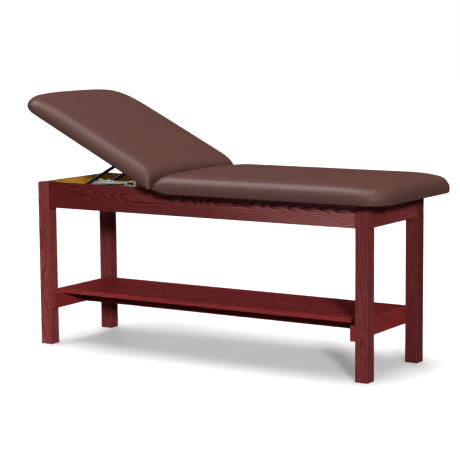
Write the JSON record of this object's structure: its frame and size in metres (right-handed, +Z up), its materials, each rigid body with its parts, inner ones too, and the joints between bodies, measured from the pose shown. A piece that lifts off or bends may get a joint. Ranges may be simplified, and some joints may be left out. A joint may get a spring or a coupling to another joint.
{
  "type": "treatment table",
  "caption": "Upholstered treatment table on a stained wooden leg-and-rail base with an H-brace shelf; the backrest pad tilts on a long hinge and is held by steel arms in a slotted rack",
  "frame": {"origin": "middle of the box round the table on the floor, with the backrest tilted as pictured", "axes": "+X to the foot end, the side nearest the camera faces -Y, +Z up"},
  "size_m": [1.7474, 0.6868, 1.1105],
  "materials": {
    "stained_wood": "red-brown stained hardwood, satin lacquer",
    "natural_wood": "bare golden wood",
    "plywood": "bare plywood",
    "vinyl": "vinyl-coated upholstery fabric over foam, fine grain",
    "zinc_steel": "zinc-plated steel",
    "black_steel": "black painted steel"
  },
  "bodies": {
    "frame": {"leg_head_front": "stained_wood", "leg_head_back": "stained_wood", "leg_foot_front": "stained_wood", "leg_foot_back": "stained_wood", "side_rail_front": "stained_wood", "side_rail_back": "stained_wood", "head_rail": "stained_wood", "foot_rail": "stained_wood", "cleat_head": "stained_wood", "cleat_foot": "stained_wood", "center_stretcher": "stained_wood", "shelf": "stained_wood", "corner_block_head_front": "natural_wood", "corner_block_head_back": "natural_wood", "corner_block_foot_front": "natural_wood", "corner_block_foot_back": "natural_wood", "hinge_cross_rail": "natural_wood", "seat_cross_rail": "natural_wood", "rack_bearer_head": "natural_wood", "rack_bearer_foot": "natural_wood", "seat_board": "plywood", "seat_cushion": "vinyl", "corner_bolts": "zinc_steel", "corner_nuts": "zinc_steel", "stretcher_screws": "zinc_steel", "shelf_screws": "zinc_steel", "seat_board_screws": "zinc_steel", "hinge_leaf_fixed": "zinc_steel", "hinge_pin": "zinc_steel", "hinge_screws_fixed": "zinc_steel", "rack_cheek_front": "zinc_steel", "rack_cheek_back": "zinc_steel", "rack_screws": "zinc_steel", "brace_bolts": "black_steel"},
    "backrest": {"backrest_board": "plywood", "backrest_cushion": "vinyl", "hinge_leaf_moving": "zinc_steel", "hinge_screws_moving": "zinc_steel", "pivot_bracket_front": "zinc_steel", "pivot_bracket_back": "zinc_steel", "pivot_pin_front": "zinc_steel", "pivot_pin_back": "zinc_steel", "bracket_screws": "zinc_steel"},
    "support": {"support_arm_front": "black_steel", "support_arm_back": "black_steel", "support_cross_rod": "black_steel"}
  },
  "joints": [
    {"name": "backrest_tilt", "type": "hinge", "parent": "frame", "child": "backrest", "pos_m": [-0.19331, 0, 0.7125], "axis": [0, 1, 0], "range_deg": [-26.5, 26.5]},
    {"name": "support_swing", "type": "hinge", "parent": "backrest", "child": "support", "pos_m": [-0.47429, 0, 0.8213], "axis": [0, 1, 0], "range_deg": [-55.65, 55.65]}
  ],
  "couplings": [
    {"joint": "support_swing", "follows": "backrest_tilt", "ratio": -2.1}
  ]
}
